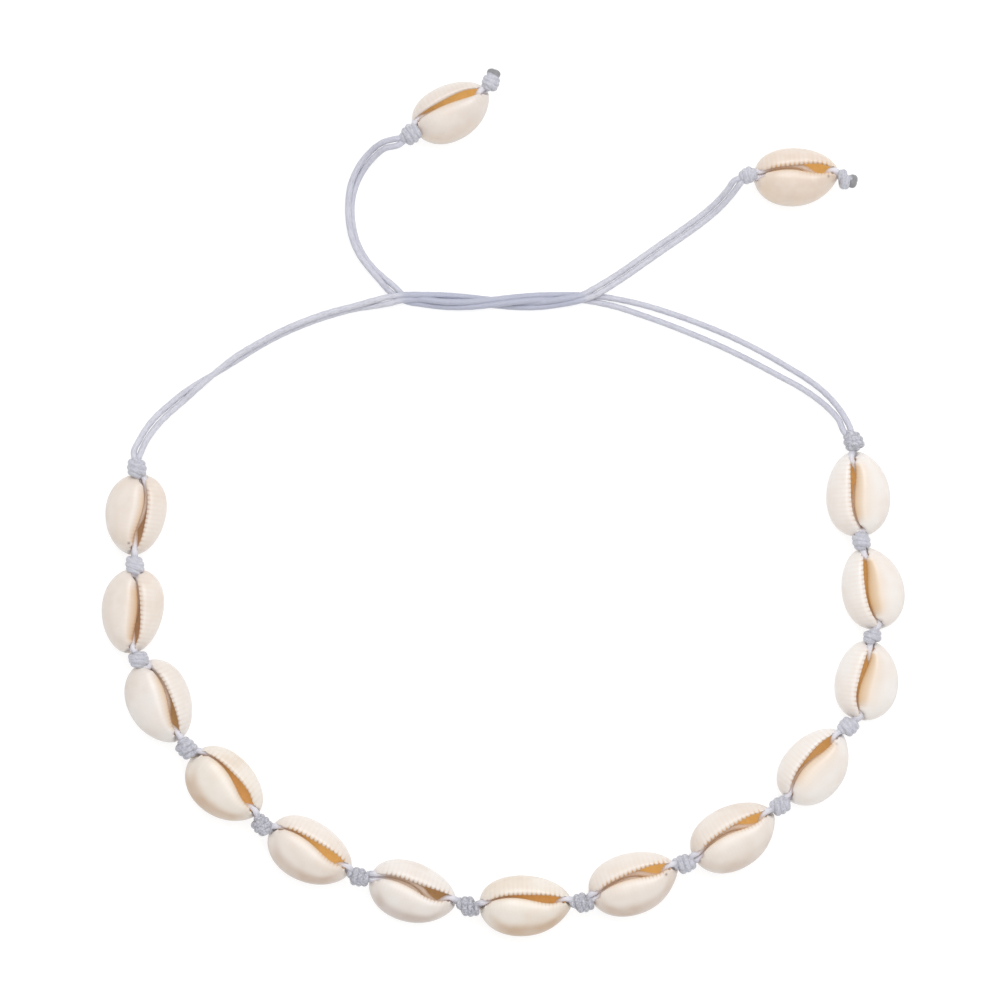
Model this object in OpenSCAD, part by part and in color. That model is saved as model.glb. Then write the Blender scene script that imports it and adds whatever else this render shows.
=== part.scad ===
// Necklace of cowrie shells on a doubled waxed cord, laid flat with its free ends crossed in a loose twist.
// X runs to the right, Y from the row of shells towards the free ends, Z up from the surface. Millimetres.

/* [Cord] */
// Thickness of one strand
cord_d = 1.2; // [0.8:0.05:1.2]
// Space between the middles of the two strands where they run through a shell
strand_step = 1.34; // [1.3:0.01:1.4]

/* [Shells] */
// Height of a shell as a share of its length
shell_rise = 0.49; // [0.47:0.01:0.54]
// Thickness of the shell at its sides and back
shell_wall = 1.2; // [1:0.1:1.4]
// Thickness of the two lips of the mouth
lip_t = 0.8; // [0.7:0.1:1]
// How much narrower the front end is than the back end
egg = 0.1; // [0:0.02:0.16]
// Height of the notch at each end of the mouth, as a share of the shell's height
notch_rise = 0.46; // [0.42:0.01:0.48]

/* [Knots] */
// Thickness of a knot
knot_d = 4.2; // [3.6:0.1:4.4]
// Height of the knots' middle above the surface
knot_z = 5.8; // [5.6:0.1:6.2]
// Length of the cut ends behind the last knots
tail_len = 0.7; // [0.5:0.1:2.5]

/* [Hidden] */
// The row's shells from its left end round to its right end. Columns: x and y of the middle, heading of the
// front end in degrees, length, width, how wide the mouth opens as a share of the usual, how far the mouth is
// shifted towards the toothed side and how much more so at the front (shares of half the width), and how far
// the strands run under the smooth lip (0 is straight below the mouth).
ROW_SHELLS = [
    [-73.3, 33.8, -99, 16.2, 12.4, 0.9, -0.04, 0.04, 1],
    [-74, 14.5, -98, 17, 12.4, 0.9, -0.07, 0.13, 1],
    [-68.7, -3.7, -67, 17.2, 12.6, 0.9, 0.07, 0, 0.8],
    [-55.5, -20.3, -42, 17.4, 13.2, 1.4, 0.04, -0.1, 1],
    [-38.5, -33.5, -30, 18, 12.6, 1.2, 0.04, 0, 1],
    [-18, -41.6, -19, 17.8, 12.4, 1, -0.02, 0.02, 0],
    [4.5, -44.3, 1, 18.2, 12.4, 1, 0.03, 0.02, 1],
    [26.3, -39.9, 17, 18.4, 12.4, 1.1, 0, 0.04, 0],
    [46.3, -30.6, 29, 18.2, 12.8, 1, -0.03, 0.03, 0],
    [62.4, -16.5, 50, 17.2, 12.8, 1, 0, 0, 0.3],
    [72.8, 0.6, 84, 16, 12.8, 0.8, -0.07, -0.08, 1],
    [74, 19.1, 102, 16.6, 12.4, 0.6, -0.07, -0.02, 1],
    [71.1, 37.9, 93, 17, 12.8, 0.7, -0.1, 0.02, 0.6],
];
// The shells on the free ends, left and right. Same columns.
END_SHELLS = [
    [-10.2, 114.4, 27, 16.4, 11.4, 1.2, 0.08, -0.02, 1],
    [58.7, 101.5, 2, 16.8, 11.8, 1.2, 0.03, 0, 0],
];
// The row's knots, left end to right end. Columns: x and y of the middle, the heading of the cord in it, and the
// knot's length.
ROW_KNOTS = [
    [-73.4, 43.4, -84, 3.6],
    [-73.8, 24.2, -88, 3.2],
    [-72.7, 4.9, -72, 2.8],
    [-63.4, -12.8, -44, 3.7],
    [-48.4, -27.8, -37, 3.7],
    [-29.2, -38.5, -20, 3.8],
    [-7.1, -44.5, -3, 4],
    [15.8, -43.8, 12, 3.8],
    [36.3, -35.9, 25, 3.7],
    [55.5, -24.3, 45, 3.7],
    [69.3, -8.6, 50, 3.7],
    [74.4, 9.6, 78, 3],
    [71.8, 28.4, 106, 3],
    [70.2, 48.2, 109, 3.8],
];
// The knots on the free ends: left inner, left outer, right inner, right outer. Same columns.
END_KNOTS = [
    [-18.4, 109.4, 45, 3.6],
    [-2.3, 120.3, 54, 3.4],
    [48.9, 101.5, 28, 3.4],
    [68.8, 100.5, -20, 3.4],
];
// How the strands run through a shell. Columns: place along the shell as a share of half its length, how far
// under the smooth lip, and height as a share of the shell's height.
THREAD_RUN = [
    [-0.86, 0, 0.67],
    [-0.62, 0.4, 0.55],
    [0.1, 1.3, 0.63],
    [0.62, 0.8, 0.55],
    [0.86, 0, 0.67],
];
// Routes of the two pairs of free strands from the row's last knots to the twist and from the twist to the end
// shells. Columns: x and y of the middle of the pair, half the space between the strands (strand a on the left
// of the heading, or on the right if negative), height of strand a, height of strand b.
LEFT_START = [
    [-73, 45.9, 0.65, 5.8, 5.8],
    [-71.9, 48.5, 0.65, 5, 5],
    [-70.3, 51.2, 0.7, 3.5, 3.5],
    [-68.7, 53.2, 0.7, 2, 2],
    [-66.5, 55.3, 0.65, 1, 1],
    [-64.4, 57.1, 0.65, 0.6, 0.8],
    [-61.6, 59.3, 0.45, 0.6, 1.7],
    [-57.7, 62.1, 0, 0.6, 1.9],
    [-53.4, 65.1, -0.35, 0.6, 1.75],
    [-49, 67.8, -0.3, 0.6, 1.75],
    [-44.5, 70.2, -0.3, 0.6, 1.75],
    [-39.4, 72.4, -0.3, 0.6, 1.75],
    [-34.4, 74.1, -0.3, 0.6, 1.75],
    [-29.4, 75.4, -0.3, 0.6, 1.75],
    [-25.6, 76.2, -0.55, 1.1, 1.9],
    [-22.6, 76.8, -0.65, 1.9, 1.9],
];
LEFT_END = [
    [18.6, 78.5, -0.65, 1.9, 1.9],
    [21.3, 80.1, -0.65, 1.2, 1.2],
    [24.8, 82.4, -0.65, 0.6, 0.6],
    [28.5, 85, -0.65, 0.6, 0.6],
    [32.5, 87.8, -0.65, 0.6, 0.6],
    [36.6, 90.6, -0.65, 0.6, 0.6],
    [40.4, 93.4, -0.65, 0.9, 0.9],
    [43.4, 96, -0.65, 2.3, 2.3],
    [45.7, 98.6, -0.65, 4.6, 4.6],
    [46.8, 100.1, -0.65, 5.6, 5.6],
];
RIGHT_START = [
    [68.9, 50.4, -0.65, 5.8, 5.8],
    [67.8, 52.9, -0.65, 5, 5],
    [66, 55.4, -0.8, 3.5, 3.5],
    [63.1, 58.2, -1, 1.9, 1.9],
    [59.9, 60.5, -1.1, 0.9, 0.9],
    [56.6, 62.4, -1.2, 0.6, 0.6],
    [51, 65.5, -1.3, 0.6, 0.6],
    [45.1, 68.4, -1.3, 0.6, 0.6],
    [39.2, 70.9, -1.25, 0.6, 0.6],
    [33.4, 73.1, -1.15, 0.6, 0.6],
    [27.6, 75, -1, 0.6, 0.6],
    [23.6, 76.1, -0.8, 0.6, 0.6],
    [19.6, 76.9, -0.65, 0.6, 0.6],
];
RIGHT_END = [
    [-22.1, 79, -0.7, 0.6, 0.6],
    [-24.2, 81, -0.5, 0.6, 1.5],
    [-26.3, 83.2, -0.35, 0.6, 1.7],
    [-28.2, 85.7, -0.35, 0.6, 1.7],
    [-29.6, 88.6, -0.35, 0.6, 1.7],
    [-30.4, 92, -0.35, 0.6, 1.7],
    [-30.6, 96, -0.35, 0.6, 1.7],
    [-29.9, 100, -0.5, 0.7, 1.6],
    [-28.3, 103.3, -0.6, 1.4, 1.9],
    [-26.2, 105.8, -0.65, 2.8, 2.8],
    [-23.6, 107.6, -0.65, 4.8, 4.8],
    [-20.9, 108.2, -0.65, 5.7, 5.7],
];
// The twist: x of its two ends, where its middle line is lowest, how much that line bends, how far each strand
// is from it, and how much wider than high the twist is
TWIST_X = [-19.9, 15.9];
TWIST_LOW = [-2, 76.35];
TWIST_BEND = 0.003;
TWIST_R = 0.92;
TWIST_WIDE = 1.25;
TWIST_STEPS = 16;

// Directions round a shell's mouth, from the front notch round by the toothed side and back by the belly
HALF_TURN = [0, 8, 20, 36, 54, 72, 90, 108, 126, 144, 160, 172];
TURN = concat(HALF_TURN, [for (a = HALF_TURN) a + 180]);
// Half of the notch at each end, as a direction round the mouth
NOTCH_TURN = 12;
// Outside of a shell from its margin up to the lip. Columns: share of the way from the lip to the margin, and
// share of the way up from the margin to the crest.
FACE_ROWS = [[1, 0], [0.88, 0.52], [0.56, 0.86], [0.16, 1], [0, 0.92]];
// Back of a shell. Columns: share of the outline, and share of the margin's height.
BACK_ROWS = [[0.45, 0], [0.84, 0.4]];
// Height of the widest line of a shell, as a share of its height
MARGIN_RISE = 0.42;
// How far the mouth reaches along the shell, as a share of its length
MOUTH_REACH = 0.88;
// Width of the mouth's narrow part, its wide part and the notches at its ends
SLIT_W = 0.5;
GAPE_W = 1.8;
MOUTH_W = 2.6;
CORD_SIDES = 8;
// How far the upper strand leans over to the toothed side, in degrees
STRAND_LEAN = 20;
KNOT_SIDES = 12;
// Rounding and twist of a knot. Columns: place along its half length, share of its thickness.
KNOT_ROWS = [[-1, 0.62], [-0.72, 0.94], [-0.3, 1], [0.3, 1], [0.72, 0.94], [1, 0.62]];
KNOT_LOBES = 3;
KNOT_LOBE_RISE = 0.08;
KNOT_TWIST = 40;
KNOT_GAP = 0.25;

shell_colour = "linen";
cord_colour = "lightsteelblue";

// A smooth step from 0 to 1 as v goes from lo to hi
function ease(v, lo, hi) =
    let (t = min(max((v - lo) / (hi - lo), 0), 1))
    t * t * (3 - 2 * t);

// Middle line of a shell's mouth, at p from -1 at the back end to 1 at the front, from the shell's middle line
function mouth_line(s, p) =
    s[4] / 2 * (0.03 + s[6] + s[7] * p + 0.22 * (1 - p * p) - 0.05 * sin(180 * p));

// Half the width of the mouth at p
function mouth_half(p, gape) =
    let (
        spread = p < 0.5 ? 0.65 : 0.3,
        lens = SLIT_W / 2 + gape * (GAPE_W - SLIT_W) / 2 * exp(-pow((p - 0.5) / spread, 2)),
        ends = MOUTH_W / 2 * ease(abs(p), 0.66, 0.8)
    )
    max(lens, ends);

// Outline of a shell seen from above, in the direction a
function outline(s, a) =
    let (
        n = sin(a),
        full = n > 0 ? 0.86 : 1.04
    )
    [s[3] / 2 * cos(a), sign(n) * s[4] / 2 * pow(abs(n), full) * (1 - egg * cos(a))];

// Edge of the mouth in the direction a
function lip_edge(s, a) =
    let (
        p = MOUTH_REACH * cos(a),
        closing = sqrt(min(1, abs(sin(a)) / sin(20))),
        side = sin(a) < -0.001 ? -1 : 1
    )
    [s[3] / 2 * p, mouth_line(s, p) + side * closing * mouth_half(p, s[5])];

// Height of the face in the direction a: a low notch at either end, a long crest between
function crest_z(s, a) =
    let (
        h = s[3] * shell_rise,
        in_notch = abs(sin(a)) < sin(NOTCH_TURN)
    )
    in_notch ? h * notch_rise : h * (1 - 0.3 * pow(abs(cos(a)), 4) - 0.03 * sin(a));

function margin_z(s) = s[3] * shell_rise * MARGIN_RISE;

// Rings of points of a shell about its own middle, from the flat it rests on, round the outside, over the lips
// and down the inside to its floor
function back_ring(s, row) = [
    for (a = TURN)
        let (o = outline(s, a), c = [0.3 * s[3] / 2 * cos(a), 0])
        [c[0] + row[0] * (o[0] - c[0]), row[0] * o[1], row[1] * margin_z(s)]
];
function face_ring(s, row) = [
    for (a = TURN)
        let (o = outline(s, a), e = lip_edge(s, a), m = margin_z(s))
        [e[0] + row[0] * (o[0] - e[0]), e[1] + row[0] * (o[1] - e[1]), m + row[1] * (crest_z(s, a) - m)]
];
function hollow_xy(s, a) =
    let (o = outline(s, a))
    [o[0] * (1 - 2 * shell_wall / s[3]), o[1] * (1 - 2 * shell_wall / s[4])];
function under_lip_ring(s) = [
    for (a = TURN)
        let (
            e = lip_edge(s, a),
            i = hollow_xy(s, a),
            m = margin_z(s),
            edge_z = m + 0.92 * (crest_z(s, a) - m)
        )
        [e[0] + 0.2 * (i[0] - e[0]), e[1] + 0.2 * (i[1] - e[1]), max(edge_z - lip_t, m)]
];
function hollow_ring(s, share, z) = [
    for (a = TURN)
        let (i = hollow_xy(s, a), c = [0.3 * s[3] / 2 * cos(a), 0])
        [c[0] + share * (i[0] - c[0]), share * i[1], z]
];
function shell_rings(s) = concat(
    [for (row = BACK_ROWS) back_ring(s, row)],
    [for (row = FACE_ROWS) face_ring(s, row)],
    [under_lip_ring(s), hollow_ring(s, 1, margin_z(s) - 0.3), hollow_ring(s, 0.5, shell_wall)]
);

// A closed solid from rings that all have the same number of points
module rings_solid(rings) {
    n = len(rings[0]);
    last = (len(rings) - 1) * n;
    points = [for (ring = rings) for (p = ring) p];
    sides = [
        for (k = [0 : len(rings) - 2])
            for (j = [0 : n - 1])
                let (a = k * n + j, b = k * n + (j + 1) % n)
                each [[a, a + n, b], [b, a + n, b + n]]
    ];
    ends = [[for (j = [0 : n - 1]) j], [for (j = [n - 1 : -1 : 0]) last + j]];
    polyhedron(points, concat(sides, ends), convexity = 8);
}

// Directions to the side of a path and up from it at its point i
function across(path, i) =
    let (
        way = path[min(i + 1, len(path) - 1)] - path[max(i - 1, 0)],
        t = way / norm(way),
        side = [-t[1], t[0], 0] / norm([t[0], t[1]])
    )
    [side, cross(t, side)];

// A tube through the points of a path
function tube_rings(path, d) = [
    for (i = [0 : len(path) - 1])
        let (to = across(path, i))
        [for (j = [0 : CORD_SIDES - 1])
            let (a = 360 / CORD_SIDES * (j + 0.5))
            path[i] + d / 2 * (cos(a) * to[0] + sin(a) * to[1])]
];
module tube(path, d) {
    rings_solid(tube_rings(path, d));
}

// One strand of a pair beside the pair's route: side is 1 for strand a and -1 for strand b
function beside(route, side) = [
    for (i = [0 : len(route) - 1])
        let (
            q = route[i],
            way = route[min(i + 1, len(route) - 1)] - route[max(i - 1, 0)],
            left = [-way[1], way[0]] / norm([way[0], way[1]])
        )
        [q[0] + side * q[2] * left[0], q[1] + side * q[2] * left[1], side > 0 ? q[3] : q[4]]
];

// A strand's way through the twist from its left end to its right end. The four strands turn once round the
// middle line, and the lowest of them lies on the surface. place is the strand's direction at the left end.
function twisted(place) = [
    for (i = [0 : TWIST_STEPS])
        let (
            turn = 360 * i / TWIST_STEPS,
            x = TWIST_X[0] + (TWIST_X[1] - TWIST_X[0]) * i / TWIST_STEPS,
            y = TWIST_LOW[1] + TWIST_BEND * pow(x - TWIST_LOW[0], 2),
            sink = max(abs(sin(45 - turn)), abs(cos(45 - turn)))
        )
        [x, y + TWIST_R * TWIST_WIDE * cos(place - turn), cord_d / 2 + TWIST_R * (sink + sin(place - turn))]
];
function reversed(path) = [for (i = [len(path) - 1 : -1 : 0]) path[i]];
function left_strand(side) =
    concat(beside(LEFT_START, side), twisted(side > 0 ? 135 : 45), beside(LEFT_END, side));
function right_strand(side) =
    concat(beside(RIGHT_START, side), reversed(twisted(side > 0 ? -45 : -135)), beside(RIGHT_END, side));

// A point of a shell's own frame, put where the shell lies
function placed(s, x, y, z) =
    [s[0] + x * cos(s[2]) - y * sin(s[2]), s[1] + x * sin(s[2]) + y * cos(s[2]), z];

// Where a cord that runs from a knot towards the point q leaves the knot: side is 1 past the knot, -1 before it
function knot_face(k, q, side) =
    let (
        way = [q[0] - k[0], q[1] - k[1]] / norm([q[0] - k[0], q[1] - k[1]]),
        along = side * way * [cos(k[2]), sin(k[2])],
        reach = (k[3] / 2 + KNOT_GAP + cord_d / 2 * sqrt(1 - along * along)) / along
    )
    [k[0] + reach * way[0], k[1] + reach * way[1], q[2]];

// Middle of the two strands from one knot through a shell to the next
function thread_path(s, before, after) =
    let (
        run = [for (q = THREAD_RUN)
            placed(s, s[3] / 2 * q[0], mouth_line(s, q[0]) - s[8] * q[1], s[3] * shell_rise * q[2])]
    )
    concat([knot_face(before, run[0], 1)], run, [knot_face(after, run[len(run) - 1], -1)]);

module cowrie(s) {
    color(shell_colour)
        translate([s[0], s[1], 0])
            rotate(s[2])
                rings_solid(shell_rings(s));
}

module thread(s, before, after) {
    path = thread_path(s, before, after);
    color(cord_colour)
        for (side = [-1, 1])
            tube([
                for (i = [0 : len(path) - 1])
                    let (to = across(path, i))
                    path[i] + side * strand_step / 2 * (sin(STRAND_LEAN) * to[0] + cos(STRAND_LEAN) * to[1])
            ], cord_d);
}

function knot_ring(k, row) = [
    for (j = [0 : KNOT_SIDES - 1])
        let (
            a = 360 / KNOT_SIDES * j,
            lobe = 1 + KNOT_LOBE_RISE * cos(KNOT_LOBES * (a - KNOT_TWIST * row[0])),
            r = knot_d / 2 / (1 + KNOT_LOBE_RISE) * row[1] * lobe
        )
        [row[0] * k[3] / 2, r * cos(a), r * sin(a)]
];
module knot(k, tails = 0) {
    x = k[3] / 2 + KNOT_GAP;
    color(cord_colour)
        translate([k[0], k[1], knot_z])
            rotate(k[2]) {
                rings_solid([for (row = KNOT_ROWS) knot_ring(k, row)]);
                if (tails > 0)
                    for (side = [-1, 1])
                        tube([[x, side * 0.75, 0], [x + tails, side * 0.8, 0]], cord_d);
            }
}

module free_cord(path) {
    color(cord_colour)
        tube(path, cord_d);
}

module row_shell(i) {
    cowrie(ROW_SHELLS[i - 1]);
}
module row_thread(i) {
    thread(ROW_SHELLS[i - 1], ROW_KNOTS[i - 1], ROW_KNOTS[i]);
}
module row_knot(i) {
    knot(ROW_KNOTS[i - 1]);
}

row_shell(1);  // shell_01
row_shell(2);  // shell_02
row_shell(3);  // shell_03
row_shell(4);  // shell_04
row_shell(5);  // shell_05
row_shell(6);  // shell_06
row_shell(7);  // shell_07
row_shell(8);  // shell_08
row_shell(9);  // shell_09
row_shell(10);  // shell_10
row_shell(11);  // shell_11
row_shell(12);  // shell_12
row_shell(13);  // shell_13
cowrie(END_SHELLS[0]);  // shell_end_left
cowrie(END_SHELLS[1]);  // shell_end_right

row_thread(1);  // thread_01
row_thread(2);  // thread_02
row_thread(3);  // thread_03
row_thread(4);  // thread_04
row_thread(5);  // thread_05
row_thread(6);  // thread_06
row_thread(7);  // thread_07
row_thread(8);  // thread_08
row_thread(9);  // thread_09
row_thread(10);  // thread_10
row_thread(11);  // thread_11
row_thread(12);  // thread_12
row_thread(13);  // thread_13
thread(END_SHELLS[0], END_KNOTS[0], END_KNOTS[1]);  // thread_end_left
thread(END_SHELLS[1], END_KNOTS[2], END_KNOTS[3]);  // thread_end_right

row_knot(1);  // knot_01
row_knot(2);  // knot_02
row_knot(3);  // knot_03
row_knot(4);  // knot_04
row_knot(5);  // knot_05
row_knot(6);  // knot_06
row_knot(7);  // knot_07
row_knot(8);  // knot_08
row_knot(9);  // knot_09
row_knot(10);  // knot_10
row_knot(11);  // knot_11
row_knot(12);  // knot_12
row_knot(13);  // knot_13
row_knot(14);  // knot_14
knot(END_KNOTS[0]);  // knot_end_left_inner
knot(END_KNOTS[1], tail_len);  // knot_end_left_outer
knot(END_KNOTS[2]);  // knot_end_right_inner
knot(END_KNOTS[3], tail_len);  // knot_end_right_outer

free_cord(left_strand(1));  // cord_left_a
free_cord(left_strand(-1));  // cord_left_b
free_cord(right_strand(1));  // cord_right_a
free_cord(right_strand(-1));  // cord_right_b
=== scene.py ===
"""Looks of a cowrie shell necklace that lies flat on a pale surface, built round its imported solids.

Sizes in the tables are millimetres in the solids' frame: X to the right, Y from the row of shells towards the
free ends, Z up from the surface. Everything that is built is in metres.
"""

import logging
import math
from dataclasses import dataclass, field, replace
from enum import Enum
from typing import Any

import bpy
import numpy as np
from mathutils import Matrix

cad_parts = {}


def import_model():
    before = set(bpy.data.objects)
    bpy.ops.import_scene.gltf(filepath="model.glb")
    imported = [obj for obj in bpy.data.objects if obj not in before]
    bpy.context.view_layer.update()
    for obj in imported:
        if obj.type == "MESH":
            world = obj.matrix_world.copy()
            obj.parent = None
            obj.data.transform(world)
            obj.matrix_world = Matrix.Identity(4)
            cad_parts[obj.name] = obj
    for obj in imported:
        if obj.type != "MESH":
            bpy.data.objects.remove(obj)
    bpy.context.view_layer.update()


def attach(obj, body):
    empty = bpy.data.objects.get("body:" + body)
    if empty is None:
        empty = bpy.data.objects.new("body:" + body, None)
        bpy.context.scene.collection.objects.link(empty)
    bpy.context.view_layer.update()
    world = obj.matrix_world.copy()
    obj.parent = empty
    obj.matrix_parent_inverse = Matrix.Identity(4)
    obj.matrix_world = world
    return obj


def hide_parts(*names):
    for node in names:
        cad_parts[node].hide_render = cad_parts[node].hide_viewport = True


logging.basicConfig(level=logging.INFO, format="%(name)s: %(message)s")
LOG = logging.getLogger("necklace")

MM = 0.001
BODY = "root"

# the cord: how thick it is, what its points carry for its finish, its braid, and the space between its rings
CORD_D = 1.2
CORD_MARKS = ("girth", "tight", "burnt", "warm", "dim", "pale")
YARNS = 6
YARN_CORNERS = 4
YARN_FIBRES = 4
BRAID_PITCH = 2.4
BRAID_DEPTH = 0.014
CORD_RING_STEP = 0.3
# the pair of strands in a shell: how far apart their middles lie, and how many degrees they lean from one
# above the other, where they hide and where they show
STRAND_STEP = 1.34
STRAND_LEAN = (14.0, 65.0)
# a shell: its height by its length, its wall, the thickness of its lips, how much wider the back is than the
# front, the heights of the notches and of the widest line by the shell's own, and how far the mouth reaches
SHELL_RISE = 0.49
SHELL_WALL = 1.2
LIP_T = 0.8
EGG = 0.1
NOTCH_RISE = 0.46
MARGIN_RISE = 0.42
MOUTH_REACH = 0.88
# half the line that its underside and its floor inside are drawn from, by its length, how far its crest falls
# to the ends and to the toothed side, and places on the crown: the share of the way out from the lip to the
# widest line, and the share of the way up from that line to the crest
CORE_REACH = 0.15
CREST_FALL = 0.25
CREST_LEAN = 0.03
CROWN = ((1, 0), (0.88, 0.52), (0.56, 0.86))
# how many rings lie between the rows that a shell is drawn through, and which rows are its widest line and
# the edge of its lip
RING_COUNTS = (2, 4, 4, 5, 6, 7, 6, 5, 4, 3, 2)
RIM_ROW = 3
LIP_ROW = 7
# the mouth: where it gapes most, how far that spreads behind and in front of it, how much of the gape is
# drawn, each side's share of it, and how much less the smooth side takes where its lip is rolled right in
MOUTH_FRONT = 0.5
MOUTH_SPREAD = (0.5, 0.3)
MOUTH_OPEN = 0.62
MOUTH_SHARE = (1.08, 0.85)
ROLL_CLOSES = 0.7
# teeth: how far they run from the lip on the toothed and the smooth side, how deep they are cut, the finer
# ribs past them, and how close and strong they are on the smooth side by the toothed side's
TOOTH_REACH = (1.1, 0.6)
TOOTH_DEPTH = 0.025
RIB_REACH = 2.4
RIB_DEPTH = 0.012
SMOOTH_PITCH = 0.8
SMOOTH_TEETH = 0.8
# how far the notched edge, the golden tint between the teeth and the darker ribs reach from the lip
EDGE_REACH = 0.35
GAP_TINT_REACH = 0.7
RIDGE_REACH = 2.6
# the small pit: its place along the shell, its way out from the lip, and the square of its radius
PIT_AT = 0.72
PIT_OUT = 0.75
PIT_SPREAD = 0.07
# a knot: the height of its middle, the room to the cord that leaves it, how much longer it is drawn than its
# length in the tables, the space between its rings, and how much thicker its strands are drawn to meet
KNOT_Z = 5.8
KNOT_GAP = 0.25
KNOT_SPREAD = 0.9
KNOT_RING_STEP = 0.16
KNOT_PRESS = 1.1
# its strands: how far their own run lies from the middle, how often they wrap a short and a long knot, from
# what half length it is a long one, how far its ends round off, how much narrower its narrow end can be,
# where a cord ends in it by its length, and how many points draw a wrap
KNOT_CORE = 0.42
KNOT_WRAPS = (1.05, 2.05)
KNOT_LONG = 1.15
KNOT_ROUND = 0.45
KNOT_CONE = 0.35
KNOT_SEAT = 0.2
WRAP_POINTS = 20
# burnt ends: how far the wraps stand back for them, half the space between them, the length of their rounded
# tips, and how much they swell
TAIL_ROOM = 0.25
TAIL_APART = 0.3
TAIL_TIP = 0.85
TAIL_SWELL = 0.5


class Tone(Enum):
    """How cream a shell is, and how bright the painted glow in its hollow is."""

    PALE = "pale"
    IVORY = "ivory"
    ROSY = "rosy"
    AMBER = "amber"
    DUSKY = "dusky"
    SANDY = "sandy"
    FROST = "frost"


# first line: x, y, heading of the front end, length, width, gape of the mouth, how far the mouth lies to the
# toothed side at the four places of MOUTH_AT, how far the strands run under the smooth lip, tone
# second line: half the width of the slit behind, how far the smooth lip rolls in, how much the shell narrows
# to the front, fullness of the toothed side, strength of the teeth, how far the strands lie free in the front
# of the mouth, how much painted shade darkens the smooth side, and for some the depth of a small pit
ROW_SHELLS: list[tuple[Any, ...]] = [
    (-73.3, 33.8, -99, 16.2, 12.4, 0.9, (0.13, 0.28, 0.22, 0.14), 0.5, Tone.ROSY,
     0.4, 0.5, 0.2, 0.95, 0.6, 0.8, 0.05, 0.15),
    (-74, 14.5, -98, 17, 12.4, 0.9, (0, 0.19, 0.23, 0.2), 0.7, Tone.ROSY,
     0.25, 0.8, 0, 0.98, 0.6, 0.7, 0.15),
    (-68.7, -3.7, -67, 17.2, 12.6, 0.9, (0.25, 0.39, 0.31, 0.2), 0.5, Tone.PALE,
     0.3, 0.5, 0.4, 1.02, 0.6, 0.3, 0.05),
    (-55.5, -20.3, -42, 17.4, 13.2, 1.4, (0.37, 0.44, 0.3, 0.1), 1, Tone.IVORY,
     0.2, 0.2, 0.4, 0.93, 0.5, 0, 0.75),
    (-38.5, -33.5, -30, 18, 12.6, 1.2, (0.25, 0.35, 0.27, 0.2), 1, Tone.AMBER,
     0.2, 0.2, 0.3, 0.92, 0.9, 0, 0.65),
    (-18, -41.6, -19, 17.8, 12.4, 1, (0.17, 0.26, 0.18, 0.2), 0, Tone.PALE,
     0.45, 0.1, 0.5, 0.92, 0.8, 0, 0.6),
    (4.6, -44.3, 1, 18.5, 12.4, 1, (0.2, 0.34, 0.26, 0.2), 1, Tone.IVORY,
     0.18, 0.1, 0.8, 0.95, 0.7, 0, 0.65),
    (26.3, -39.9, 17, 18.4, 12.4, 1.1, (0.1, 0.28, 0.27, 0.24), 0, Tone.AMBER,
     0.34, 0.1, 1.3, 0.98, 0.9, 0, 0.55, 0.15),
    (46.3, -30.6, 29, 18.2, 12.8, 1, (0.12, 0.27, 0.24, 0.2), 0.1, Tone.AMBER,
     0.34, 0.1, 0.8, 0.97, 0.8, 0, 0.2),
    (62.4, -16.5, 50, 17.2, 12.8, 1, (0.12, 0.31, 0.26, 0.16), 0.8, Tone.FROST,
     0.36, 0.3, 0.9, 0.93, 0.6, 0, 0, 0.06),
    (72.8, 0.6, 84, 16, 12.8, 0.8, (0.14, 0.26, 0.12, 0), 1, Tone.FROST,
     0.25, 0.8, 0.2, 0.97, 0.5, 1, 0),
    (74, 19.1, 102, 16.6, 12.4, 0.6, (0.1, 0.24, 0.16, 0.05), 1, Tone.FROST,
     0.25, 1, 0.6, 1, 0.5, 0.3, 0),
    (71.1, 37.9, 93, 17, 12.8, 0.7, (0.03, 0.2, 0.15, 0.13), 0.6, Tone.FROST,
     0.3, 0.6, 0.3, 0.99, 0.5, 0.6, 0),
]
END_SHELLS: list[tuple[Any, ...]] = [
    (-10.2, 114.4, 27, 16.4, 11.4, 0.6, (0.28, 0.33, 0.29, 0.18), 1, Tone.DUSKY,
     0.45, 0.1, 0.5, 0.95, 0.15, 0, 0.1),
    (58.8, 101.4, 2, 17, 11.8, 1.1, (0.15, 0.25, 0.21, 0.15), 0, Tone.SANDY,
     0.32, 0.1, 1, 0.96, 0.8, 0, 0.1, 0.1),
]
MOUTH_AT = (-0.75, -0.25, 0.25, 0.75)
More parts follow.
